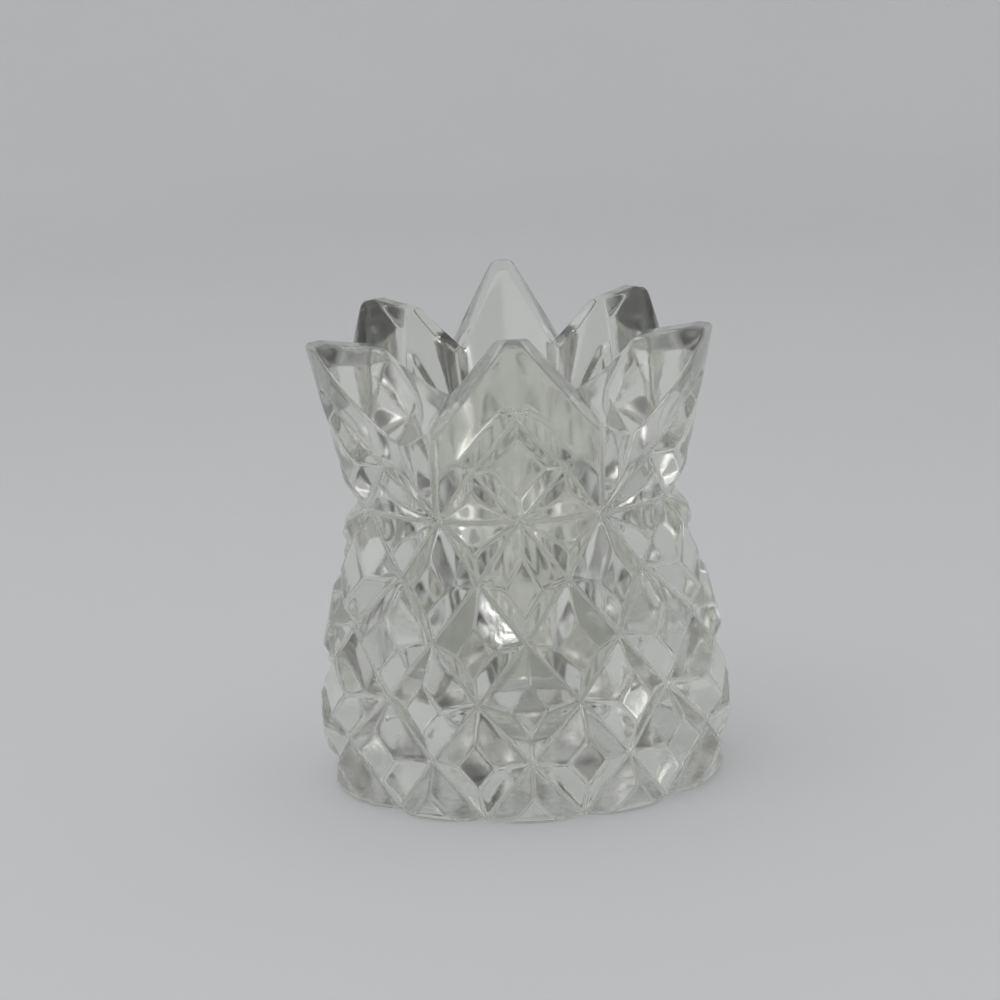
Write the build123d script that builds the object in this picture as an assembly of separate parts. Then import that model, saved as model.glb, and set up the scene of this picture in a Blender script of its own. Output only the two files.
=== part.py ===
"""Pineapple-shaped toothpick holder of clear cut glass.

One thick-walled piece of glass, standing on its foot: a barrel body cut all over with crossing mitre
grooves that leave raised diamonds, a narrow waist with a level mitre round it, and a flared crown cut into
six pointed leaves round an open well. The leaves are set out by eye: the two at the flanks are wide, the
rear three narrow. Millimetres and degrees, +Z up, origin at the middle of the foot. The front leaf faces
-Y, and angles round the axis count from there, the same to the left as to the right.
"""
from build123d import *
import math
import os

# Blank, before cutting
overall_height = 66.4
belly_radius = 27.8
belly_height = 10.5
belly_curve = 45.0
foot_bevel = 0.6
waist_radius = 22.4
waist_height = 38.4
crown_radius = 28.6

# Well for the toothpicks
well_floor = 11.0
well_floor_radius = 12.6
well_corner = 4.0
well_neck_radius = 13.4
well_neck_height = 49.0
well_neck_curve = 12.0
well_mouth_radius = 21.4

# Mitre grooves: V cuts that cross in rows and columns
column_count = 12
body_rows = 5
mitre_angle = 105.0
body_mitre_depth = 2.1
waist_mitre_depth = 1.45
crown_mitre_depth = 1.3
diamond_reach = 3.2
crown_row_pitch = 6.8
upright_angle = 66.0

# Half columns of the body, from the front one to the rear one: wide at the flanks, as the leaves are
body_turns = (0.0, 15.0, 30.0, 45.0, 69.0, 91.0, 111.0, 123.0, 134.0, 145.5, 157.0, 168.5, 180.0)

# Leaves of the crown: where they stand round the axis, and their tips
flank_leaf_turn = 77.0
quarter_leaf_turn = 137.5
rear_leaf_turn = 180.0
front_tip_height = 62.7
flank_tip_height = 60.8
quarter_tip_height = 62.8
tip_fall = 8.0
tip_bevel = 1.0
tip_width = 20.0

# Notches between the leaves: their height is that of the bottom line above the bottom of the waist mitre, and
# their rise that of the same line towards the axis; the leans are those of the two faces from upright, the
# near one being the face nearer the front
front_notch_turn = 31.0
front_notch_height = 50.0
front_notch_rise = 38.0
front_notch_near_lean = 49.0
front_notch_far_lean = 64.0
flank_notch_turn = 113.0
flank_notch_height = 50.0
flank_notch_rise = 22.0
flank_notch_near_lean = 54.0
flank_notch_far_lean = 36.5
rear_notch_turn = 158.5
rear_notch_height = 54.0
rear_notch_rise = 22.0
rear_notch_near_lean = 40.5
rear_notch_far_lean = 34.0

# How far each cutter runs past the end of its cut and out of the glass
overrun = 0.8
cutter_reach = 4.0

# Values that follow from the sizes above
half_count = column_count // 2
row_pitch = waist_height / body_rows
waist_bottom = waist_radius - waist_mitre_depth
leaf_reach = crown_radius - waist_bottom + cutter_reach
tip_top = overall_height + cutter_reach


def belly_end() -> Vector:
    """Point (radius, height) where the rounded belly runs smoothly into the straight taper to the waist."""
    centre = Vector(belly_radius - belly_curve, belly_height)
    to_waist = Vector(waist_radius, waist_height) - centre
    turn = math.acos(belly_curve / to_waist.length)
    angle = math.atan2(to_waist.Y, to_waist.X) - turn
    return centre + Vector(math.cos(angle), math.sin(angle)) * belly_curve


def blank_radius(height: float) -> float:
    """Radius of the uncut blank at a height."""
    end = belly_end()
    if height <= end.Y:
        return belly_radius - belly_curve + math.sqrt(belly_curve**2 - (height - belly_height) ** 2)
    if height <= waist_height:
        share = (height - end.Y) / (waist_height - end.Y)
        return end.X + share * (waist_radius - end.X)
    share = (height - waist_height) / (overall_height - waist_height)
    return waist_radius + share * (crown_radius - waist_radius)


def at_turn(radius: float, turn: float, height: float) -> Vector:
    """Point at a radius, an angle round the axis and a height."""
    angle = math.radians(turn - 90.0)
    return Vector(radius * math.cos(angle), radius * math.sin(angle), height)


def wrap(column: float) -> float:
    """Same column, counted from minus half of the columns up to plus half."""
    return (column + half_count) % column_count - half_count


def body_turn(column: float) -> float:
    """Angle at which a column or half column stands on the body."""
    return math.copysign(body_turns[round(2 * abs(column))], column)


def crown_turn(column: float) -> float:
    """Angle at which a column stands on the crown: even columns are leaves and odd ones notches."""
    turns = (
        0.0,
        front_notch_turn,
        flank_leaf_turn,
        flank_notch_turn,
        quarter_leaf_turn,
        rear_notch_turn,
        rear_leaf_turn,
    )
    below = min(int(abs(column)), len(turns) - 2)
    share = abs(column) - below
    return math.copysign(turns[below] + share * (turns[below + 1] - turns[below]), column)


def node(row: int, column: float) -> Vector:
    """Point at the bottom of the grooves where they cross.

    Rows count upwards from the foot, so row body_rows is the waist and the two higher rows lie on the crown.
    Columns are upright as far as the waist, stand half way to the leaves on the next row and at the leaves
    on the last.
    """
    above = max(row - body_rows, 0)
    low = body_turn(column)
    turn = low + above / 2 * (crown_turn(column) - low)
    height = min(row, body_rows) * row_pitch + above * crown_row_pitch
    if row < body_rows:
        depth = body_mitre_depth
    elif row == body_rows:
        depth = waist_mitre_depth
    else:
        depth = crown_mitre_depth
    return at_turn(blank_radius(height) - depth, turn, height)


def mitre(start: Vector, end: Vector, reach: float = cutter_reach, opening: float = mitre_angle) -> Part:
    """V cutter with its edge on the line from start to end and its opening away from the axis."""
    along = (end - start).normalized()
    middle = (start + end) * 0.5
    outward = Vector(middle.X, middle.Y, 0)
    outward = (outward - along * outward.dot(along)).normalized()
    half_width = reach * math.tan(math.radians(opening / 2))
    section = Polygon((0, 0), (reach, -half_width), (reach, half_width), align=None)
    plane = Plane(origin=start - along * overrun, x_dir=outward, z_dir=along)
    return extrude(plane * section, amount=(end - start).length + 2 * overrun)


def make_blank() -> Part:
    """Blank turned from its outer profile, with the well already open in it."""
    foot_radius = blank_radius(0.0)
    end = belly_end()
    with BuildSketch(Plane.XZ) as outside:
        with BuildLine():
            foot = Polyline((0, 0), (foot_radius - foot_bevel, 0), (blank_radius(foot_bevel), foot_bevel))
            belly = ThreePointArc(foot @ 1, (belly_radius, belly_height), (end.X, end.Y))
            top = Polyline(
                belly @ 1, (waist_radius, waist_height), (crown_radius, overall_height), (0, overall_height)
            )
            Line(top @ 1, foot @ 0)
        make_face()
    mouth_slope = (well_mouth_radius - well_neck_radius) / (overall_height - well_neck_height)
    with BuildSketch(Plane.XZ) as inside:
        with BuildLine():
            wall = FilletPolyline(
                (0, well_floor),
                (well_floor_radius, well_floor),
                (well_neck_radius, well_neck_height),
                (well_mouth_radius + mouth_slope * cutter_reach, tip_top),
                radius=[well_corner, well_neck_curve],
            )
            Polyline(wall @ 1, (0, tip_top), wall @ 0)
        make_face()
    return revolve(outside.sketch, Axis.Z) - revolve(inside.sketch, Axis.Z)


def waist_ring() -> Part:
    """Cutter for the level mitre round the waist."""
    half_width = cutter_reach * math.tan(math.radians(mitre_angle / 2))
    section = Polygon(
        (waist_bottom, waist_height),
        (waist_bottom + cutter_reach, waist_height - half_width),
        (waist_bottom + cutter_reach, waist_height + half_width),
        align=None,
    )
    return revolve(Plane.XZ * section, Axis.Z)


def diamond_cutters() -> list:
    """Groups of crossing mitres from the foot up to the first row of the crown.

    The cutters of one group don't touch each other.
    """
    groups = []
    for side in (-0.5, 0.5):
        for row in range(body_rows + 1):
            shift = 0.5 * ((body_rows - row) % 2)
            starts = [column + shift for column in range(-half_count, half_count)]
            ends = [wrap(column + side) for column in starts]
            lines = [(node(row, a), node(row + 1, b)) for a, b in zip(starts, ends)]
            groups.append([mitre(a, b, diamond_reach) for a, b in lines])
    return groups


def leaf_cutters() -> list:
    """Groups of cutters for the leaves.

    On each leaf two mitres meet in a point above the waist. Between two leaves an upright mitre runs from the
    waist to the notch, and the notch runs through the wall. Each leaf has its tip cut.
    """
    notches = (
        (1, front_notch_turn, front_notch_height, front_notch_rise),
        (3, flank_notch_turn, flank_notch_height, flank_notch_rise),
        (5, rear_notch_turn, rear_notch_height, rear_notch_rise),
    )
    notch_leans = (
        (front_notch_near_lean, front_notch_far_lean),
        (flank_notch_near_lean, flank_notch_far_lean),
        (rear_notch_near_lean, rear_notch_far_lean),
    )
    groups = []
    uprights = []
    for (column, turn, height, rise), leans in zip(notches, notch_leans):
        for side in (-1, 1):
            groups.append(leaf_notch(side * turn, height, rise, leans[::side]))
            foot = at_turn(waist_bottom, side * turn, height)
            uprights.append(mitre(node(body_rows, side * column), foot, leaf_reach, upright_angle))
    groups.append(leaf_tip(0.0, front_tip_height))
    groups.append(leaf_tip(rear_leaf_turn, overall_height))
    for side in (-1, 1):
        groups.append(leaf_tip(side * flank_leaf_turn, flank_tip_height))
        groups.append(leaf_tip(side * quarter_leaf_turn, quarter_tip_height))
    groups.append(uprights)
    for side in (-0.5, 0.5):
        leaves = range(-half_count, half_count, 2)
        groups.append([mitre(node(body_rows + 1, wrap(c + side)), node(body_rows + 2, c)) for c in leaves])
    return groups


def leaf_notch(turn: float, height: float, rise: float, leans: tuple) -> Part:
    """V cutter that lies along the radius between two leaves, and rises towards the axis."""
    inward = at_turn(-1, turn, 0)
    tilt = math.radians(rise)
    along = inward * math.cos(tilt) + Vector(0, 0, 1) * math.sin(tilt)
    upward = Vector(0, 0, 1) * math.cos(tilt) - inward * math.sin(tilt)
    start = at_turn(waist_bottom, turn, height) - along * (leaf_reach / math.cos(tilt))
    length = (waist_bottom + leaf_reach) / math.cos(tilt)
    reach = tip_top - height + crown_radius * math.sin(tilt)
    before, after = (reach * math.tan(math.radians(lean)) for lean in leans)
    section = Polygon((0, 0), (reach, -before), (reach, after), align=None)
    plane = Plane(origin=start, x_dir=upward, z_dir=along)
    return extrude(plane * section, amount=length)


def leaf_tip(turn: float, height: float) -> Part:
    """Cutter for the top of a leaf, which falls towards the axis and is bevelled on the outside."""
    edge = blank_radius(height) - tip_bevel
    outer = edge + tip_bevel + cutter_reach
    section = Polygon(
        (0, height - edge * math.tan(math.radians(tip_fall))),
        (edge, height),
        (outer, height - outer + edge),
        (outer, tip_top),
        (0, tip_top),
        align=None,
    )
    outward = at_turn(1, turn, 0)
    plane = Plane(origin=(0, 0, 0), x_dir=outward, z_dir=outward.cross(Vector(0, 0, 1)))
    return extrude(plane * section, amount=tip_width / 2, both=True)


def make_glass_body() -> Part:
    """Blank with all its grooves and notches cut."""
    glass = make_blank() - waist_ring()
    for group in leaf_cutters() + diamond_cutters():
        glass = glass - group
    return glass


os.makedirs("parts", exist_ok=True)
export_step(make_glass_body(), "parts/glass_body.step")
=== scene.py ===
"""Looks of a pineapple-shaped toothpick holder of clear cut glass, on a pale studio sweep.

Sizes are in millimetres and angles in degrees unless a name says otherwise. Meshes are written in metres, in
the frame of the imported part: +Z up, origin at the middle of the foot, a leaf facing -Y. An angle round the
axis counts from -Y towards +X.
"""
import logging
import math
from dataclasses import dataclass, field
from enum import Enum

import bpy
import numpy as np
from mathutils import Matrix, Vector


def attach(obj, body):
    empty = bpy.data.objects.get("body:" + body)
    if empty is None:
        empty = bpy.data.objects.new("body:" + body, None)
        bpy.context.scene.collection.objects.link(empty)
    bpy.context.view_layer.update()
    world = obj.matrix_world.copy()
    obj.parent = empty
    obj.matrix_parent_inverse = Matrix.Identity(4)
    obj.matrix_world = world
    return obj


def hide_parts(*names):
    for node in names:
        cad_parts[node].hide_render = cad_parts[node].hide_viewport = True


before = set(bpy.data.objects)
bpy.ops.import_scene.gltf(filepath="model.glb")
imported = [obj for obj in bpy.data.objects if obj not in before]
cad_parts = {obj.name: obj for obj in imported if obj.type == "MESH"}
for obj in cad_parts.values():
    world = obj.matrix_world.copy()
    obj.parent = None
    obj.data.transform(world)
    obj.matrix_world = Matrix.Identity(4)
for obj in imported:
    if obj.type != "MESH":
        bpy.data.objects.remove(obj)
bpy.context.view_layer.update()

METRE = 0.001
TINY = 1e-9
LIGHT_BOUNCES = 64
LOG = logging.getLogger("holder")

# Colour sockets of a Mix node
MIX_FIRST = 6
MIX_SECOND = 7
MIX_RESULT = 2


class Surface(Enum):
    """Kinds of glass surface on the holder, in the order of its material slots."""

    CUT = 0
    WELL = 1
    FOOT = 2


def smooth_min(first: np.ndarray, second: np.ndarray, width: float) -> np.ndarray:
    """Smaller of two fields, with the crease between them rounded.

    Formula: the smaller one, less a quarter of width times the square of how far the two are within width of
    each other.

    Args:
        first: One field.
        second: The other field.
        width: Difference between the fields at which the rounding starts.

    Returns:
        The rounded smaller field.
    """
    near = np.clip(1.0 - np.abs(first - second) / width, 0.0, None)
    return np.minimum(first, second) - 0.25 * width * near**2


def smooth_max(first: np.ndarray, second: np.ndarray, width: float) -> np.ndarray:
    """Larger of two fields, with the crease between them rounded as in smooth_min."""
    return -smooth_min(-first, -second, width)


@dataclass(frozen=True)
class GlassFinish:
    """Finish of one kind of glass surface.

    Ripple is the slow unevenness that polishing leaves, and marks are fine scuffs and smears that dull the
    shine and make the tint paler. Edges and grooves are dulled on top of the marks, and their tint is made
    paler too: on the arrises as wear, along the groove bottoms as a painted highlight.
    """

    name: str
    tint: tuple[float, float, float]
    shine: float
    dull: float
    ripple_scale: float
    ripple_height: float
    mark_scale: float
    mark_share: float
    edge_dull: float
    # Groove dulling also makes the tint paler along the groove bottoms, a painted highlight.
    groove_dull_and_highlight: float = 0.0


@dataclass(frozen=True)
class PaperFinish:
    """Finish of the seamless sweep, pale under and behind the holder, with painted shade at -Y and at the
    sides that stands in for the darker room on the camera's side.

    The painted shade goes by y less a share of how far to the side a point is.
    """

    name: str = "sweep_paper"
    colour: tuple[float, float, float] = (0.80, 0.813, 0.828)
    shade: tuple[float, float, float] = (0.77, 0.783, 0.798)
    # Painted shade: dark grey mixed into the paper at -Y and the sides, standing in for the darker room.
    painted_shade: tuple[float, float, float] = (0.18, 0.18, 0.17)
    painted_shade_start: float = -150.0
    painted_shade_end: float = -500.0
    side_share: float = 0.6
    grain_scale: float = 9.0
    roughness: float = 0.6
    gloss: float = 0.25


class ShaderGroups:
    """Shader effects that several finishes share, each built once as a node group."""

    ripple_fineness: float = 3.7
    ripple_share: float = 0.22
    speck_fineness: float = 6.0
    patch_start: float = 0.5
    patch_full: float = 0.75

    def __init__(self) -> None:
        """Builds the groups."""
        self.ripple = self._make_ripple()
        self.marks = self._make_marks()

    @staticmethod
    def _start(name: str, inputs: dict[str, tuple[str, float]], outputs: tuple[str, ...]) -> tuple:
        """Makes an empty group with its sockets.

        Args:
            name: Name of the group.
            inputs: Socket type and default of each input, by name.
            outputs: Names of the value outputs.

        Returns:
            The group, its input node and its output node.
        """
        group = bpy.data.node_groups.new(name, "ShaderNodeTree")
        for label, (kind, default) in inputs.items():
            socket = group.interface.new_socket(label, in_out="INPUT", socket_type=kind)
            if kind == "NodeSocketFloat":
                socket.default_value = default
        for label in outputs:
            group.interface.new_socket(label, in_out="OUTPUT", socket_type="NodeSocketFloat")
        return group, group.nodes.new("NodeGroupInput"), group.nodes.new("NodeGroupOutput")

    def _make_ripple(self) -> bpy.types.NodeTree:
        """Slow ripple of a polished surface: two noises of different size, added as one height.

        Returns:
            The group.
        """
        inputs = {"Vector": ("NodeSocketVector", 0.0), "Scale": ("NodeSocketFloat", 200.0)}
        group, source, sink = self._start("polish_ripple", inputs, ("Height",))
        nodes, links = group.nodes, group.links
        broad = nodes.new("ShaderNodeTexNoise")
        broad.inputs["Detail"].default_value = 1.0
        fine = nodes.new("ShaderNodeTexNoise")
        fine.inputs["Detail"].default_value = 2.0
        finer = nodes.new("ShaderNodeMath")
        finer.operation = "MULTIPLY"
        finer.inputs[1].default_value = self.ripple_fineness
        share = nodes.new("ShaderNodeMath")
        share.operation = "MULTIPLY_ADD"
        share.inputs[1].default_value = self.ripple_share
        links.new(source.outputs["Vector"], broad.inputs["Vector"])
        links.new(source.outputs["Vector"], fine.inputs["Vector"])
        links.new(source.outputs["Scale"], broad.inputs["Scale"])
        links.new(source.outputs["Scale"], finer.inputs[0])
        links.new(finer.outputs[0], fine.inputs["Scale"])
        links.new(fine.outputs["Fac"], share.inputs[0])
        links.new(broad.outputs["Fac"], share.inputs[2])
        links.new(share.outputs[0], sink.inputs["Height"])
        return group

    def _make_marks(self) -> bpy.types.NodeTree:
        """Marks of handling: patches where a coarse noise is high, broken up by a fine one.

        Returns:
            The group.
        """
        inputs = {
            "Vector": ("NodeSocketVector", 0.0),
            "Scale": ("NodeSocketFloat", 400.0),
            "Share": ("NodeSocketFloat", 0.3),
            "Edge": ("NodeSocketFloat", 0.0),
        }
        group, source, sink = self._start("handling_marks", inputs, ("Mask",))
        nodes, links = group.nodes, group.links
        patch = nodes.new("ShaderNodeTexNoise")
        patch.inputs["Detail"].default_value = 3.0
        speck = nodes.new("ShaderNodeTexNoise")
        speck.inputs["Detail"].default_value = 4.0
        speck.inputs["Roughness"].default_value = 0.7
        finer = nodes.new("ShaderNodeMath")
        finer.operation = "MULTIPLY"
        finer.inputs[1].default_value = self.speck_fineness
        fade = nodes.new("ShaderNodeMapRange")
        fade.inputs["From Min"].default_value = self.patch_start
        fade.inputs["From Max"].default_value = self.patch_full
        broken = nodes.new("ShaderNodeMath")
        broken.operation = "MULTIPLY"
        amount = nodes.new("ShaderNodeMath")
        amount.operation = "MULTIPLY"
        total = nodes.new("ShaderNodeMath")
        total.operation = "ADD"
        total.use_clamp = True
        links.new(source.outputs["Vector"], patch.inputs["Vector"])
        links.new(source.outputs["Vector"], speck.inputs["Vector"])
        links.new(source.outputs["Scale"], patch.inputs["Scale"])
        links.new(source.outputs["Scale"], finer.inputs[0])
        links.new(finer.outputs[0], speck.inputs["Scale"])
        links.new(patch.outputs["Fac"], fade.inputs["Value"])
        links.new(fade.outputs["Result"], broken.inputs[0])
        links.new(speck.outputs["Fac"], broken.inputs[1])
        links.new(broken.outputs[0], amount.inputs[0])
        links.new(source.outputs["Share"], amount.inputs[1])
        links.new(amount.outputs[0], total.inputs[0])
        links.new(source.outputs["Edge"], total.inputs[1])
        links.new(total.outputs[0], sink.inputs["Mask"])
        return group


class GlassMaker:
    """Makes the glass materials from their finishes."""

    refraction: float = 1.545
    shadow_tint: tuple[float, float, float] = (0.97, 0.975, 0.965)
    # How much paler the tint is on scuffs, on wear of the arrises and, as a painted highlight, along the
    # groove bottoms.
    mark_and_groove_highlight_paleness: float = 1.03

    def __init__(self, groups: ShaderGroups) -> None:
        """Keeps the shared groups."""
        self.groups = groups

    def make(self, finish: GlassFinish) -> bpy.types.Material:
        """Makes one glass material.

        Args:
            finish: The finish to make.

        Returns:
            The material.
        """
        material = bpy.data.materials.new(finish.name)
        material.use_nodes = True
        nodes, links = material.node_tree.nodes, material.node_tree.links
        glass = nodes["Principled BSDF"]
        glass.inputs["Metallic"].default_value = 0.0
        glass.inputs["Transmission Weight"].default_value = 1.0
        glass.inputs["IOR"].default_value = self.refraction
        place = nodes.new("ShaderNodeTexCoord")
        edge = nodes.new("ShaderNodeAttribute")
        edge.attribute_name = "arris"
        edge_wear_and_groove_highlight = nodes.new("ShaderNodeMath")
        edge_wear_and_groove_highlight.operation = "MULTIPLY_ADD"
        edge_wear_and_groove_highlight.inputs[1].default_value = finish.edge_dull
        # Painted highlight: the crease mask makes the tint paler along the groove bottoms, besides dulling
        # them.
        groove = nodes.new("ShaderNodeAttribute")
        groove.attribute_name = "crease"
        groove_frost_and_highlight = nodes.new("ShaderNodeMath")
        groove_frost_and_highlight.operation = "MULTIPLY"
        groove_frost_and_highlight.inputs[1].default_value = finish.groove_dull_and_highlight
        marks = nodes.new("ShaderNodeGroup")
        marks.node_tree = self.groups.marks
        marks.inputs["Scale"].default_value = finish.mark_scale
        marks.inputs["Share"].default_value = finish.mark_share
        rough = nodes.new("ShaderNodeMapRange")
        rough.inputs["To Min"].default_value = finish.shine
        rough.inputs["To Max"].default_value = finish.dull
        # Tint goes paler where the mask is high: scuffs and arris wear, plus a painted highlight in the
        # groove bottoms.
        tint = nodes.new("ShaderNodeMix")
        tint.data_type = "RGBA"
        pale = (min(self.mark_and_groove_highlight_paleness * channel, 1.0) for channel in finish.tint)
        tint.inputs[MIX_FIRST].default_value = (*finish.tint, 1.0)
        tint.inputs[MIX_SECOND].default_value = (*pale, 1.0)
        ripple = nodes.new("ShaderNodeGroup")
        ripple.node_tree = self.groups.ripple
        ripple.inputs["Scale"].default_value = finish.ripple_scale
        bump = nodes.new("ShaderNodeBump")
        bump.inputs["Strength"].default_value = 1.0
        bump.inputs["Distance"].default_value = finish.ripple_height * METRE
        links.new(place.outputs["Object"], marks.inputs["Vector"])
        links.new(place.outputs["Object"], ripple.inputs["Vector"])
        links.new(groove.outputs["Fac"], groove_frost_and_highlight.inputs[0])
        links.new(edge.outputs["Fac"], edge_wear_and_groove_highlight.inputs[0])
        links.new(groove_frost_and_highlight.outputs[0], edge_wear_and_groove_highlight.inputs[2])
        links.new(edge_wear_and_groove_highlight.outputs[0], marks.inputs["Edge"])
        links.new(marks.outputs["Mask"], rough.inputs["Value"])
        links.new(rough.outputs["Result"], glass.inputs["Roughness"])
        links.new(marks.outputs["Mask"], tint.inputs["Factor"])
        links.new(tint.outputs[MIX_RESULT], glass.inputs["Base Color"])
        links.new(ripple.outputs["Height"], bump.inputs["Height"])
        links.new(bump.outputs["Normal"], glass.inputs["Normal"])
        path = nodes.new("ShaderNodeLightPath")
        clear = nodes.new("ShaderNodeBsdfTransparent")
        clear.inputs["Color"].default_value = (*self.shadow_tint, 1.0)
        lamp_way = nodes.new("ShaderNodeMixShader")
        links.new(path.outputs["Is Shadow Ray"], lamp_way.inputs["Fac"])
        links.new(glass.outputs["BSDF"], lamp_way.inputs[1])
        links.new(clear.outputs["BSDF"], lamp_way.inputs[2])
        links.new(lamp_way.outputs["Shader"], nodes["Material Output"].inputs["Surface"])
        return material


@dataclass(frozen=True)
class Leaf:
    """One leaf of the crown: the angle of its ridge round the axis and the height of its tip."""

    turn: float
    tip: float


@dataclass(frozen=True)
class Notch:
    """One V notch between two leaves.

    Height is that of its bottom line above the bottom of the waist's groove, and rise the angle at which that
    line rises towards the axis. Before and after are the leans of its faces from upright, on the side nearer
    -Y and on the other side.
    """

    turn: float
    height: float
    rise: float
    before: float
    after: float


@dataclass
class PineappleHolder:
    """The one piece of glass: a turned blank with its well, mitre grooves and leaf notches.

    The surface is a closed profile carried round the axis. Each column of the grid is the profile at one
    angle: out along the foot, up the cut outside, over the leaf edge, across the wall, down the well and in
    along its floor.
    """

    overall_height: float = 66.4
    belly_radius: float = 27.8
    belly_height: float = 10.5
    belly_curve: float = 45.0
    foot_bevel: float = 0.6
    waist_radius: float = 22.4
    waist_height: float = 38.4
    crown_radius: float = 28.6
    well_floor: float = 11.0
    well_floor_radius: float = 12.6
    well_corner: float = 4.0
    well_neck_radius: float = 13.4
    well_neck_height: float = 49.0
    well_mouth_radius: float = 21.4
    column_count: int = 12
    body_rows: int = 5
    mitre_angle: float = 105.0
    upright_angle: float = 66.0
    body_mitre_depth: float = 2.1
    waist_mitre_depth: float = 1.45
    crown_mitre_depth: float = 1.3
    crown_row_pitch: float = 6.8
    body_turns: tuple[float, ...] = (
        0.0, 15.0, 30.0, 45.0, 69.0, 91.0, 111.0, 123.0, 134.0, 145.5, 157.0, 168.5, 180.0
    )
    leaves: tuple[Leaf, ...] = (
        Leaf(turn=0.0, tip=62.7),
        Leaf(turn=77.0, tip=60.8),
        Leaf(turn=137.5, tip=62.8),
        Leaf(turn=180.0, tip=66.4),
    )
    notches: tuple[Notch, ...] = (
        Notch(turn=31.0, height=50.0, rise=38.0, before=49.0, after=64.0),
        Notch(turn=113.0, height=50.0, rise=22.0, before=54.0, after=36.5),
        Notch(turn=158.5, height=54.0, rise=22.0, before=40.5, after=34.0),
    )
    tip_fall: float = 8.0
    tip_bevel: float = 1.0
    tip_width: float = 20.0
    overrun: float = 0.8
    run_out: float = 3.0
    arris_round: float = 0.22
    groove_round: float = 0.20
    neck_round: float = 1.0
    tip_round: float = 0.5
    edge_round: float = 0.4
    cells: int = 18
    upper_share: float = 1.5
    leaf_share: float = 1.6
    foot_rings: tuple[float, ...] = (0.3, 0.6, 0.85, 0.96)
    wall_rows: int = 7
    mouth_rows: int = 16
    mouth_depth: float = 2.0
    edge_rounds: int = 30
    least_facing: float = 0.05
    groove_margin: float = 0.6
    bend_gain: float = 14.0
    finishes: dict[Surface, GlassFinish] = field(default_factory=dict)

    @property
    def column_step(self) -> float:
        """Angle from one column of crossings to the next."""
        return 360.0 / self.column_count

    @property
    def row_pitch(self) -> float:
        """Height of one row of crossings on the body."""
        return self.waist_height / self.body_rows

    @property
    def groove_radius(self) -> float:
        """Radius of the bottom of the level groove round the waist."""
        return self.waist_radius - self.waist_mitre_depth

    def body_turn(self, column: float) -> float:
        """Angle of a column on the body, where those at the flanks stand wider apart.

        Args:
            column: Column or half column, counted from -Y; it may be past half a turn.

        Returns:
            The angle.
        """
        near = self.wrap(column)
        halves = 0.5 * np.arange(len(self.body_turns))
        turn = math.copysign(float(np.interp(abs(near), halves, self.body_turns)), near)
        return turn + (column - near) * self.column_step

    def crown_turn(self, column: float) -> float:
        """Angle at which a column stands on the crown, where leaves and notches are set out unevenly.

        Args:
            column: Column, counted from the leaf at -Y; even ones are leaves and odd ones notches.

        Returns:
            The angle, between neighbouring leaves and notches in proportion.
        """
        half = [self.leaves[0].turn]
        for notch, leaf in zip(self.notches, self.leaves[1:]):
            half += [notch.turn, leaf.turn]
        return math.copysign(float(np.interp(abs(column), np.arange(len(half)), half)), column)

    def level_turn(self, row: int, column: float) -> float:
        """Angle of a crossing: as on the body up to the waist, as on the crown at the leaf points.

        Args:
            row: Row of crossings, counted up from the foot.
            column: Column of crossings.

        Returns:
            The angle, half way between the two on the row between.
        """
        above = max(row - self.body_rows, 0)
        low = self.body_turn(column)
        return low + 0.5 * above * (self.crown_turn(column) - low)

    def turned_radius(self, height: np.ndarray) -> np.ndarray:
        """Radius of the turned outside: a belly arc, a straight taper to the waist and a flare above.

        Args:
            height: Heights.

        Returns:
            Radius at each height, bevels left out.
        """
        centre = self.belly_radius - self.belly_curve
        rise, run = self.waist_height - self.belly_height, self.waist_radius - centre
        turn = math.atan2(rise, run) - math.acos(self.belly_curve / math.hypot(rise, run))
        end_radius = centre + self.belly_curve * math.cos(turn)
        end_height = self.belly_height + self.belly_curve * math.sin(turn)
        below = np.clip(height - self.belly_height, -self.belly_curve, self.belly_curve)
        belly = centre + np.sqrt(self.belly_curve**2 - below**2)
        taper = np.interp(height, (end_height, self.waist_height), (end_radius, self.waist_radius))
        ends = (self.waist_height, self.overall_height)
        flare = np.interp(height, ends, (self.waist_radius, self.crown_radius))
        body = np.where(height <= end_height, belly, taper)
        return np.where(height <= self.waist_height, body, flare)

    def blank_radius(self, height: np.ndarray) -> np.ndarray:
        """Radius of the turned outside with its straight bevel at the foot.

        Args:
            height: Heights.

        Returns:
            Radius at each height.
        """
        turned = self.turned_radius(height)
        foot = float(self.turned_radius(np.array(0.0)))
        foot_top = float(self.turned_radius(np.array(self.foot_bevel)))
        low = np.interp(height, (0.0, self.foot_bevel), (foot - self.foot_bevel, foot_top))
        return np.where(height < self.foot_bevel, low, turned)

    @staticmethod
    def at_turn(radius: float, turn: float, height: float) -> np.ndarray:
        """Point at a radius, an angle round the axis and a height."""
        angle = math.radians(turn)
        return np.array((radius * math.sin(angle), -radius * math.cos(angle), height))

    def crossing(self, row: int, column: float) -> np.ndarray:
        """Point at the bottom of the grooves where they cross.

        Args:
            row: Row of crossings, counted up from the foot; row body_rows is the waist.
            column: Column of crossings.

        Returns:
            The point.
        """
        above = row - self.body_rows
        height = row * self.row_pitch if above <= 0 else self.waist_height + above * self.crown_row_pitch
        depth = self.body_mitre_depth if above < 0 else self.crown_mitre_depth
        depth = self.waist_mitre_depth if above == 0 else depth
        radius = float(self.turned_radius(np.array(height))) - depth
        return self.at_turn(radius, self.level_turn(row, column), height)

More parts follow.
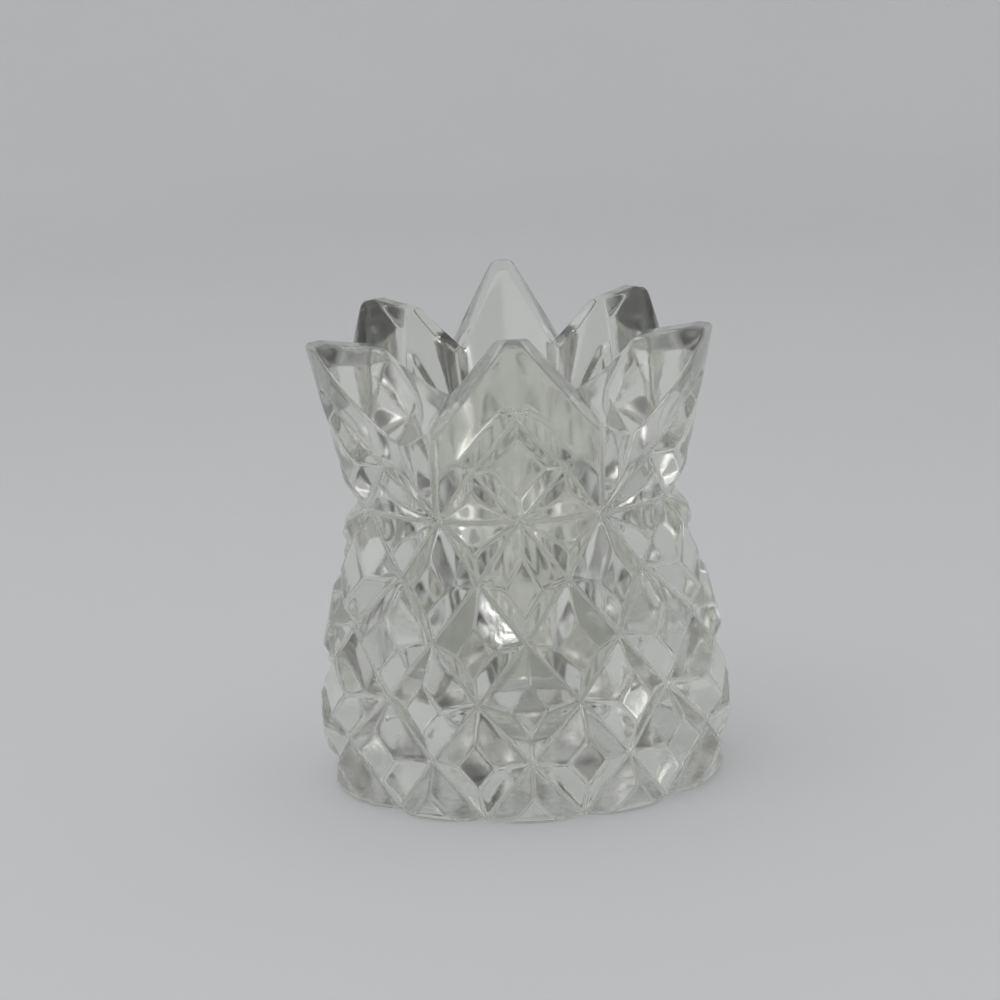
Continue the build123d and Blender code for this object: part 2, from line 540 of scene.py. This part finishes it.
    def mitre_radius(
        self, start: np.ndarray, end: np.ndarray, angle: np.ndarray, height: np.ndarray, opening: float
    ) -> np.ndarray:
        """Radius at which a level ray from the axis meets one V groove.

        Formula: each wall of the V is a plane through the groove's bottom line, the ray meets it at the
        plane's offset over the ray's share along its normal, and the groove is the larger of the two, rounded
        at the bottom. Past its ends the groove runs out steeply.

        Args:
            start: Lower end of the bottom line.
            end: Upper end of the bottom line.
            angle: Angle of each ray, in radians.
            height: Height of each ray.
            opening: Angle between the two walls.

        Returns:
            Radius of the groove on each ray.
        """
        along = end - start
        length = np.linalg.norm(along)
        along = along / length
        outward = (start + end) * (0.5, 0.5, 0.0)
        outward = outward - along * (outward @ along)
        outward = outward / np.linalg.norm(outward)
        side = np.cross(along, outward)
        wide = math.tan(math.radians(opening / 2))
        walls = []
        for sign in (-1.0, 1.0):
            normal = outward * wide + sign * side
            facing = np.sin(angle) * normal[0] - np.cos(angle) * normal[1]
            facing = np.maximum(facing, self.least_facing)
            walls.append((normal @ start - height * normal[2]) / facing)
        radius = smooth_max(walls[0], walls[1], self.groove_round)
        level = np.sin(angle) * along[0] - np.cos(angle) * along[1]
        place = radius * level + height * along[2] - along @ start
        past = np.maximum(-place, place - length) - self.overrun
        return radius + self.run_out * np.maximum(past, 0.0)

    def groove_lines(self) -> dict[str, list[tuple[np.ndarray, np.ndarray]]]:
        """Bottom lines of all the grooves, by the way they run.

        Returns:
            Start and end points of the rising, falling and upright grooves.
        """
        lines = {"rising": [], "falling": [], "upright": []}
        half = self.column_count // 2
        for row in range(self.body_rows + 1):
            shift = 0.5 * ((self.body_rows - row) % 2)
            for column in np.arange(-half, half) + shift:
                start = self.crossing(row, column)
                for way, side in (("rising", 0.5), ("falling", -0.5)):
                    end = self.crossing(row + 1, self.wrap(column + side))
                    lines[way].append((start, end))
        for leaf in range(-half, half, 2):
            point = self.crossing(self.body_rows + 2, leaf)
            lines["rising"].append((self.crossing(self.body_rows + 1, self.wrap(leaf - 0.5)), point))
            lines["falling"].append((self.crossing(self.body_rows + 1, leaf + 0.5), point))
        for index, notch in enumerate(self.notches):
            for side in (-1, 1):
                top = self.at_turn(self.groove_radius, side * notch.turn, notch.height)
                lines["upright"].append((self.crossing(self.body_rows, side * (2 * index + 1)), top))
        return lines

    def wrap(self, column: float) -> float:
        """Same column, counted from minus half of the columns to plus half."""
        half = self.column_count / 2
        return (column + half) % self.column_count - half

    def outside(self, angle: np.ndarray, height: np.ndarray) -> tuple[np.ndarray, np.ndarray]:
        """Radius of the finished outside: the smallest of the blank and every groove, with rounded arrises.

        Args:
            angle: Angles round the axis, in radians.
            height: Heights.

        Returns:
            The radius, and whether the rising grooves lie deeper there than the falling ones.
        """
        cuts = {}
        for way, pairs in self.groove_lines().items():
            opening = self.upright_angle if way == "upright" else self.mitre_angle
            radii = [self.mitre_radius(*pair, angle, height, opening) for pair in pairs]
            cuts[way] = np.minimum.reduce(radii)
        slope = 1.0 / math.tan(math.radians(self.mitre_angle / 2))
        away = np.sqrt((height - self.waist_height) ** 2 + (0.5 * self.groove_round) ** 2)
        ring = self.waist_radius - self.waist_mitre_depth + slope * away
        crossed = smooth_min(cuts["rising"], cuts["falling"], self.arris_round)
        others = smooth_min(ring, cuts["upright"], self.arris_round)
        cut = smooth_min(crossed, others, self.arris_round)
        radius = smooth_min(self.blank_radius(height), cut, self.arris_round)
        return radius, cuts["rising"] < cuts["falling"]

    def top(self, angle: np.ndarray, radius: np.ndarray) -> np.ndarray:
        """Height of the cut top: the smallest of the leaf tips and of all the notch faces.

        Formula: a notch face rises with the distance across the notch, and its bottom line rises towards the
        axis. A tip falls a little towards the axis, and is bevelled on the outside.

        Args:
            angle: Angles round the axis, in radians.
            radius: Radii.

        Returns:
            Height of the top.
        """
        height = np.full(np.broadcast(angle, radius).shape, self.overall_height)
        for side in (-1.0, 1.0):
            for leaf in self.leaves:
                turn = angle - side * math.radians(leaf.turn)
                outwards, across = radius * np.cos(turn), radius * np.sin(turn)
                past = outwards - float(self.turned_radius(np.array(leaf.tip))) + self.tip_bevel
                tip = leaf.tip + np.minimum(past * math.tan(math.radians(self.tip_fall)), -past)
                on_leaf = (np.abs(across) < self.tip_width / 2) & (outwards > 0.0)
                height = np.where(on_leaf, np.minimum(height, tip), height)
            for notch in self.notches:
                turn, rise = angle - side * math.radians(notch.turn), math.radians(notch.rise)
                across = side * radius * np.sin(turn)
                steep = 1.0 / np.tan(np.radians(np.where(across > 0.0, notch.after, notch.before)))
                across = np.sqrt(across**2 + (0.5 * self.groove_round) ** 2)
                inwards = self.groove_radius - radius * np.cos(turn)
                face = notch.height + (across * steep + inwards * math.sin(rise)) / math.cos(rise)
                height = smooth_min(height, face, self.tip_round)
        return height

    def well_radius(self, height: np.ndarray) -> np.ndarray:
        """Radius of the well above its floor corner: the larger of a near-upright wall and a flared mouth.

        Args:
            height: Heights.

        Returns:
            Radius at each height.
        """
        wall_height = self.well_neck_height - self.well_floor
        mouth_height = self.overall_height - self.well_neck_height
        lower = (self.well_neck_radius - self.well_floor_radius) / wall_height
        upper = (self.well_mouth_radius - self.well_neck_radius) / mouth_height
        above = height - self.well_neck_height
        wall = self.well_neck_radius + lower * above
        mouth = self.well_neck_radius + upper * above
        return smooth_max(wall, mouth, self.neck_round)

    def bend(self, start: tuple, corner: tuple, end: tuple) -> list[tuple[np.ndarray, np.ndarray]]:
        """Points that round an edge: a parabola from start to end that leaves both towards the corner.

        Args:
            start: Radius and height before the edge, by column.
            corner: Radius and height of the sharp edge.
            end: Radius and height past the edge.

        Returns:
            Radius and height of three points between start and end.
        """
        points = []
        for share in (0.25, 0.5, 0.75):
            weights = ((1 - share) ** 2, 2 * share * (1 - share), share**2)
            points.append(
                tuple(sum(w * p[i] for w, p in zip(weights, (start, corner, end))) for i in range(2))
            )
        return points

    def profile(self) -> tuple[np.ndarray, ...]:
        """Angle, radius and height over the grid, from the foot's middle to the middle of the well floor.

        Returns:
            Angle, radius and height by row and column, the kind of surface by row, and by row and column
            whether a cell is split along a rising groove.
        """
        count = 2 * self.column_count * self.cells
        even = 360.0 / count * np.arange(count) - 180.0
        zero = np.zeros(count)
        lattice = np.arange(self.body_rows * self.cells + 1) * self.row_pitch / self.cells
        upper_cells = int(self.upper_share * self.cells)
        upper = self.waist_height + np.arange(1, upper_cells + 1) * self.crown_row_pitch / self.cells
        levels = np.concatenate((lattice, upper))
        angles = np.radians([self.grid_turns(even, level) for level in levels])
        angle = angles[-1]
        edge_height = np.full(count, self.waist_height)
        inner_radius = np.full(count, self.well_neck_radius)
        for _ in range(self.edge_rounds):
            edge_height = self.top(angle, self.outside(angle, edge_height)[0])
            inner_radius = self.well_radius(self.top(angle, inner_radius))
        edge_radius = self.outside(angle, edge_height)[0]
        inner_height = self.top(angle, inner_radius)
        drop = np.minimum(self.edge_round, 0.3 * (edge_height - levels[-1]))
        leaf_rows = np.linspace(0.0, 1.0, int(self.leaf_share * self.cells))[1:, None]
        leaf = levels[-1] + leaf_rows * (edge_height - drop - levels[-1])
        heights = np.concatenate((np.repeat(levels[:, None], count, 1), leaf))
        angles = np.concatenate((angles, np.repeat(angle[None], len(leaf), 0)))
        radii, rising = self.outside(angles, heights)
        rows = [(radii[0] * share, zero, Surface.FOOT) for share in self.foot_rings]
        before = len(rows)
        rows += [(r, h, Surface.CUT) for r, h in zip(radii, heights)]
        over = edge_radius - drop
        past_edge = (over, self.top(angle, over))
        within = inner_radius + self.edge_round
        before_well = (within, self.top(angle, within))
        down = inner_height - self.edge_round
        in_well = (self.well_radius(down), down)
        before_edge = (radii[-1], heights[-1])
        rows += [(*p, Surface.CUT) for p in self.bend(before_edge, (edge_radius, edge_height), past_edge)]
        for share in np.linspace(0.0, 1.0, self.wall_rows):
            across = over + share * (within - over)
            rows.append((across, self.top(angle, across), Surface.CUT))
        rows += [(*p, Surface.CUT) for p in self.bend(before_well, (inner_radius, inner_height), in_well)]
        neck = self.well_neck_height - self.mouth_depth
        for share in np.linspace(0.0, 1.0, self.mouth_rows):
            height = down + share * (neck - down)
            rows.append((self.well_radius(height), height, Surface.WELL))
        rows += self._well_bottom(neck, zero)
        split = np.zeros((len(rows), count), bool)
        split[before : before + len(rising)] = rising
        radius = np.array([row[0] for row in rows])
        height = np.array([row[1] for row in rows])
        kinds = np.array([row[2].value for row in rows])
        below = np.repeat(angles[:1], before, 0)
        within = np.repeat(angle[None], len(rows) - before - len(angles), 0)
        return np.concatenate((below, angles, within)), radius, height, kinds, split

    def grid_turns(self, even: np.ndarray, level: float) -> np.ndarray:
        """Angles of the grid's columns at a height, so that the columns keep to the grooves.

        Formula: where a groove passes a column at this height, the column stands at the groove; in between,
        columns are spaced in proportion.

        Args:
            even: Angles of the columns if they were spaced evenly.
            level: Height.

        Returns:
            Angle of each column.
        """
        share = (level - self.waist_height) / self.crown_row_pitch
        half = self.column_count // 2
        if share <= 0.0:
            halves = np.arange(-2 * half, 2 * half + 1) / 2
            return np.interp(even, halves * self.column_step, [self.body_turn(h) for h in halves])
        knots = []
        for column in range(-half - 1, half + 2):
            place, low = column * self.column_step, self.body_turn(column)
            if column % 2:
                notch = self.notches[(min(abs(column), self.column_count - abs(column)) - 1) // 2]
                full = self.long_turn(column)
                upright = notch.height - self.groove_margin - self.waist_height
                part = min((level - self.waist_height) / upright, 1.0)
                knots.append((place, low + part * (full - low)))
            for side in (-0.5, 0.5):
                middle = place + side * self.column_step
                between = self.body_turn(column + side)
                bent = 0.5 * (between + self.long_turn(column + side))
                if share <= 1.0:
                    knots.append((middle, between + share * (bent - between)))
                    knots.append((place + share * (middle - place), low + share * (bent - low)))
                elif column % 2 == 0:
                    back = share - 1.0
                    full = self.long_turn(column)
                    knots.append((middle + back * (place - middle), bent + back * (full - bent)))
        places, turns = zip(*sorted(knots))
        return np.interp(even, places, turns)

    def long_turn(self, column: float) -> float:
        """Angle of a column on the crown, carried on past half a turn."""
        near = self.wrap(column)
        return self.crown_turn(near) + (column - near) * self.column_step

    def _well_bottom(self, neck: float, zero: np.ndarray) -> list[tuple[np.ndarray, np.ndarray, Surface]]:
        """Rows of the lower well: a straight wall, a quarter-circle corner and a level floor.

        Args:
            neck: Height at which the rows start.
            zero: A zero for each column.

        Returns:
            Radius, height and kind of surface of each row.
        """
        lean = math.atan2(
            self.well_neck_radius - self.well_floor_radius, self.well_neck_height - self.well_floor
        )
        centre_height = self.well_floor + self.well_corner
        wall = self.well_floor_radius + self.well_corner * math.tan(lean)
        centre_radius = wall - self.well_corner / math.cos(lean)
        turns = np.linspace(-lean, -math.pi / 2, 9)
        corner_radius = centre_radius + self.well_corner * np.cos(turns)
        corner_height = centre_height + self.well_corner * np.sin(turns)
        heights = np.linspace(neck, corner_height[0], 13)[1:-1]
        rows = [(self.well_radius(zero + h), zero + h, Surface.WELL) for h in heights]
        rows += [(zero + r, zero + h, Surface.WELL) for r, h in zip(corner_radius, corner_height)]
        floor = centre_radius * np.array((0.8, 0.55, 0.3))
        return rows + [(zero + r, zero + self.well_floor, Surface.WELL) for r in floor]

    def build(self) -> bpy.types.Object:
        """Builds the glass, and writes as arris and crease how sharply it bends outwards and inwards.

        Returns:
            The object, at the origin.
        """
        angle, radius, height, kinds, split = self.profile()
        rows, columns = radius.shape
        points = np.stack((radius * np.sin(angle), -radius * np.cos(angle), height), axis=-1)
        bent = self.convexity(points)
        ends = np.array(((0.0, 0.0, 0.0), (0.0, 0.0, self.well_floor)))
        vertices = np.concatenate((points.reshape(-1, 3), ends))
        index = np.arange(rows * columns).reshape(rows, columns)
        right = np.roll(index, -1, axis=1)
        a, b, c, d = index[:-1], right[:-1], right[1:], index[1:]
        along = split[:-1, :, None]
        first = np.where(along, np.stack((a, b, c), -1), np.stack((a, b, d), -1))
        second = np.where(along, np.stack((a, c, d), -1), np.stack((b, c, d), -1))
        low, high = np.full(columns, rows * columns), np.full(columns, rows * columns + 1)
        foot_cap = np.stack((low, right[0], index[0]), -1)
        well_cap = np.stack((index[-1], right[-1], high), -1)
        faces = np.concatenate((first.reshape(-1, 3), second.reshape(-1, 3), foot_cap, well_cap))
        kind = np.repeat(kinds[1:], columns)
        ends_kind = np.repeat((Surface.FOOT.value, Surface.WELL.value), columns)
        kind = np.concatenate((kind, kind, ends_kind))
        mesh = bpy.data.meshes.new("cut_glass")
        mesh.vertices.add(len(vertices))
        mesh.vertices.foreach_set("co", (vertices * METRE).astype(np.float32).ravel())
        mesh.loops.add(faces.size)
        mesh.loops.foreach_set("vertex_index", faces.astype(np.int32).ravel())
        mesh.polygons.add(len(faces))
        mesh.polygons.foreach_set("loop_start", np.arange(0, faces.size, 3, dtype=np.int32))
        mesh.polygons.foreach_set("material_index", kind.astype(np.int32))
        mesh.polygons.foreach_set("use_smooth", np.ones(len(faces), bool))
        mesh.update(calc_edges=True)
        for name, sign in (("arris", 1.0), ("crease", -1.0)):
            mark = mesh.attributes.new(name, "FLOAT", "POINT")
            value = np.clip(sign * bent, 0.0, 1.0)
            mark.data.foreach_set("value", np.concatenate((value.ravel(), (0.0, 0.0))).astype(np.float32))
        holder = bpy.data.objects.new("cut_glass", mesh)
        bpy.context.scene.collection.objects.link(holder)
        return holder

    def convexity(self, points: np.ndarray) -> np.ndarray:
        """How sharply the grid bends outwards at each point.

        Formula: the point less the mean of its four neighbours, along the normal, over the neighbours'
        spacing.

        Args:
            points: Points by row and column.

        Returns:
            0 on flats, up to 1 on an arris and down to -1 at the bottom of a groove.
        """
        up, down = np.roll(points, -1, 0), np.roll(points, 1, 0)
        right, left = np.roll(points, -1, 1), np.roll(points, 1, 1)
        normal = np.cross(right - left, up - down)
        normal /= np.maximum(np.linalg.norm(normal, axis=-1, keepdims=True), TINY)
        proud = np.sum((points - 0.25 * (up + down + right + left)) * normal, axis=-1)
        spacing = np.linalg.norm(right - left, axis=-1) + np.linalg.norm(up - down, axis=-1)
        bent = np.clip(proud / np.maximum(spacing, TINY) * self.bend_gain, -1.0, 1.0)
        bent[0] = bent[-1] = 0.0
        return bent

    def dress(self, holder: bpy.types.Object, maker: GlassMaker) -> None:
        """Gives the glass its materials, one slot for each kind of surface.

        Args:
            holder: The object from build.
            maker: Maker of the materials.
        """
        for surface in Surface:
            holder.data.materials.append(maker.make(self.finishes[surface]))


@dataclass
class StudioSweep:
    """Seamless pale sweep: a level floor that curves up into a wall on every side."""

    floor_rings: tuple[float, ...] = (0.0, 60.0, 150.0, 300.0, 500.0)
    floor_radius: float = 700.0
    curve_radius: float = 500.0
    curve_rows: int = 25
    wall_height: float = 700.0
    columns: int = 96
    gap: float = 0.05
    paper: PaperFinish = PaperFinish()

    def build(self) -> bpy.types.Object:
        """Builds the sweep: a profile of floor, quarter circle and wall carried round the axis.

        Returns:
            The object.
        """
        turn = np.linspace(0.0, math.pi / 2, self.curve_rows)
        floor = np.array(self.floor_rings)
        radius = np.concatenate((floor, self.floor_radius + self.curve_radius * np.sin(turn)))
        radius = np.append(radius, radius[-1])
        height = np.concatenate((0.0 * floor, self.curve_radius * (1.0 - np.cos(turn))))
        height = np.append(height, self.wall_height)
        angle = np.linspace(0.0, 2 * math.pi, self.columns, endpoint=False)
        ring = np.stack((np.sin(angle), -np.cos(angle)), -1)
        flat = radius[1:, None, None] * ring
        tall = np.broadcast_to(height[1:, None, None], flat.shape[:2] + (1,))
        points = np.concatenate((flat, tall), -1).reshape(-1, 3)
        points = np.concatenate((points, np.zeros((1, 3))))
        points[:, 2] -= self.gap
        points *= METRE
        index = np.arange(len(points) - 1).reshape(-1, self.columns)
        right = np.roll(index, -1, axis=1)
        quads = np.stack((index[:-1], index[1:], right[1:], right[:-1]), -1).reshape(-1, 4)
        centre = np.full(self.columns, len(points) - 1)
        middle = np.stack((centre, index[0], right[0]), -1)
        mesh = bpy.data.meshes.new("sweep")
        mesh.from_pydata(points.tolist(), [], quads.tolist() + middle.tolist())
        mesh.polygons.foreach_set("use_smooth", np.ones(len(mesh.polygons), bool))
        mesh.materials.append(self.make_paper())
        sweep = bpy.data.objects.new("sweep", mesh)
        bpy.context.scene.collection.objects.link(sweep)
        return sweep

    def make_paper(self) -> bpy.types.Material:
        """Pale matt paper with a slight cloudiness, and painted shade towards -Y and the sides.

        Returns:
            The material.
        """
        material = bpy.data.materials.new(self.paper.name)
        material.use_nodes = True
        nodes, links = material.node_tree.nodes, material.node_tree.links
        paper = nodes["Principled BSDF"]
        paper.inputs["Roughness"].default_value = self.paper.roughness
        paper.inputs["Specular IOR Level"].default_value = self.paper.gloss
        place = nodes.new("ShaderNodeTexCoord")
        cloud = nodes.new("ShaderNodeTexNoise")
        cloud.inputs["Scale"].default_value = self.paper.grain_scale
        cloud.inputs["Detail"].default_value = 3.0
        mix = nodes.new("ShaderNodeMix")
        mix.data_type = "RGBA"
        mix.inputs[MIX_FIRST].default_value = (*self.paper.colour, 1.0)
        mix.inputs[MIX_SECOND].default_value = (*self.paper.shade, 1.0)
        apart = nodes.new("ShaderNodeSeparateXYZ")
        aside = nodes.new("ShaderNodeMath")
        aside.operation = "ABSOLUTE"
        depth = nodes.new("ShaderNodeMath")
        depth.operation = "MULTIPLY_ADD"
        depth.inputs[1].default_value = -self.paper.side_share
        fade = nodes.new("ShaderNodeMapRange")
        fade.inputs["From Min"].default_value = self.paper.painted_shade_start * METRE
        fade.inputs["From Max"].default_value = self.paper.painted_shade_end * METRE
        # Painted shade: the paper's colour is mixed towards the dark grey at -Y and at the sides.
        painted_shade_mix = nodes.new("ShaderNodeMix")
        painted_shade_mix.data_type = "RGBA"
        painted_shade_mix.inputs[MIX_SECOND].default_value = (*self.paper.painted_shade, 1.0)
        links.new(place.outputs["Object"], cloud.inputs["Vector"])
        links.new(place.outputs["Object"], apart.inputs[0])
        links.new(apart.outputs["X"], aside.inputs[0])
        links.new(aside.outputs[0], depth.inputs[0])
        links.new(apart.outputs["Y"], depth.inputs[2])
        links.new(depth.outputs[0], fade.inputs["Value"])
        links.new(cloud.outputs["Fac"], mix.inputs["Factor"])
        links.new(mix.outputs[MIX_RESULT], painted_shade_mix.inputs[MIX_FIRST])
        links.new(fade.outputs["Result"], painted_shade_mix.inputs["Factor"])
        links.new(painted_shade_mix.outputs[MIX_RESULT], paper.inputs["Base Color"])
        return material


@dataclass(frozen=True)
class SoftLight:
    """A rectangular soft light that looks at the holder."""

    name: str
    place: tuple[float, float, float]
    size: tuple[float, float]
    power: float
    colour: tuple[float, float, float] = (1.0, 1.0, 1.0)
    aim: tuple[float, float, float] = (0.0, 0.0, 32.0)

    def build(self) -> bpy.types.Object:
        """Makes the light.

        Returns:
            The light's object.
        """
        lamp = bpy.data.lights.new(self.name, "AREA")
        lamp.shape = "RECTANGLE"
        lamp.size, lamp.size_y = (side * METRE for side in self.size)
        lamp.energy = self.power
        lamp.color = self.colour
        light = bpy.data.objects.new(self.name, lamp)
        light.location = Vector(self.place) * METRE
        look = (Vector(self.aim) - Vector(self.place)).to_track_quat("-Z", "Y")
        light.rotation_mode = "QUATERNION"
        light.rotation_quaternion = look
        bpy.context.scene.collection.objects.link(light)
        return light


@dataclass(frozen=True)
class PhotoCamera:
    """Camera at the photograph's viewing angle, for a square picture of 1000 by 1000."""

    elevation: float = 12.0
    azimuth: float = -1.0
    roll: float = -2.79
    distance: float = 400.0
    picture_scale: float = 0.1347
    centre_x: float = 517.8
    centre_y: float = 529.0
    middle_height: float = 33.0
    picture_side: float = 1000.0
    sensor: float = 36.0

    def build(self) -> bpy.types.Object:
        """Makes the camera: the holder's middle is seen at the centre point, at the scale of mm in a pixel.

        Returns:
            The camera's object.
        """
        turn, tilt = math.radians(self.azimuth), math.radians(self.elevation)
        back = Vector((math.sin(turn) * math.cos(tilt), -math.cos(turn) * math.cos(tilt), math.sin(tilt)))
        rolled = Matrix.Rotation(math.radians(self.roll), 3, "Z")
        look = (-back).to_track_quat("-Z", "Y").to_matrix() @ rolled
        across = (self.picture_side / 2 - self.centre_x) * self.picture_scale
        upwards = (self.centre_y - self.picture_side / 2) * self.picture_scale
        middle = Vector((0.0, 0.0, self.middle_height))
        place = middle + back * self.distance
        aim = middle + look.col[0] * across + look.col[1] * upwards
        data = bpy.data.cameras.new("camera")
        data.sensor_width = self.sensor
        data.lens = self.distance / (self.picture_scale * self.picture_side) * self.sensor
        data.clip_start, data.clip_end = 0.01, 20.0
        camera = bpy.data.objects.new("camera", data)
        camera.location = place * METRE
        facing = (aim - place).to_track_quat("-Z", "Y").to_matrix()
        camera.rotation_mode = "QUATERNION"
        camera.rotation_quaternion = (facing @ rolled).to_quaternion()
        bpy.context.scene.collection.objects.link(camera)
        bpy.context.scene.camera = camera
        return camera


def make_room(colour: tuple[float, float, float], strength: float) -> None:
    """Sets the even light of the room above the sweep.

    Args:
        colour: Colour of the light.
        strength: Its strength.
    """
    room = bpy.data.worlds.new("room")
    room.use_nodes = True
    light = room.node_tree.nodes["Background"]
    light.inputs["Color"].default_value = (*colour, 1.0)
    light.inputs["Strength"].default_value = strength
    bpy.context.scene.world = room


def set_look() -> None:
    """Sets how far light is followed through the glass, and plain tones for the picture."""
    scene = bpy.context.scene
    scene.view_settings.view_transform = "Standard"
    scene.cycles.max_bounces = LIGHT_BOUNCES
    scene.cycles.transmission_bounces = LIGHT_BOUNCES
    scene.cycles.caustics_refractive = False
    scene.cycles.caustics_reflective = False


def make_finishes() -> dict[Surface, GlassFinish]:
    """Finishes of the glass, by kind of surface.

    Returns:
        The finishes.
    """
    clear = (0.92, 0.926, 0.876)
    cut = GlassFinish(
        name="cut_polish",
        tint=clear,
        shine=0.08,
        dull=0.65,
        ripple_scale=160.0,
        ripple_height=0.06,
        mark_scale=300.0,
        mark_share=0.4,
        edge_dull=0.3,
        groove_dull_and_highlight=1.0,
    )
    well = GlassFinish(
        name="well_polish",
        tint=clear,
        shine=0.1,
        dull=0.3,
        ripple_scale=90.0,
        ripple_height=0.03,
        mark_scale=240.0,
        mark_share=0.3,
        edge_dull=0.2,
    )
    foot = GlassFinish(
        name="worn_foot",
        # The foot's tint is darker than the clear tint of the cut and the well.
        tint=(0.88, 0.89, 0.84),
        shine=0.12,
        dull=0.5,
        ripple_scale=300.0,
        ripple_height=0.04,
        mark_scale=900.0,
        mark_share=1.2,
        edge_dull=0.6,
    )
    return {Surface.CUT: cut, Surface.WELL: well, Surface.FOOT: foot}


def main() -> None:
    """Builds the holder, the sweep, the lights and the camera, and reports each."""
    logging.basicConfig(level=logging.INFO, format="%(message)s")
    set_look()
    holder_maker = PineappleHolder(finishes=make_finishes())
    holder = holder_maker.build()
    holder_maker.dress(holder, GlassMaker(ShaderGroups()))
    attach(holder, "root")
    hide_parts("glass_body")
    mesh = holder.data
    LOG.info("piece %s: %d points, %d faces", holder.name, len(mesh.vertices), len(mesh.polygons))
    sweep = StudioSweep().build()
    LOG.info("stage %s: %d faces", sweep.name, len(sweep.data.polygons))
    lights = (
        SoftLight("key", place=(-800.0, -900.0, 700.0), size=(1800.0, 1800.0), power=14.8),
        SoftLight("top", place=(0.0, -200.0, 1800.0), size=(2000.0, 2000.0), power=11.7),
        SoftLight("left_glint", place=(-420.0, -300.0, 700.0), size=(20.0, 20.0), power=0.2),
        SoftLight("right_glint", place=(430.0, -420.0, 560.0), size=(20.0, 20.0), power=0.25),
    )
    for light in lights:
        LOG.info("light %s", light.build().name)
    make_room(colour=(0.985, 0.99, 1.0), strength=0.16)
    LOG.info("camera %s", PhotoCamera().build().name)


if __name__ == "__main__":
    main()
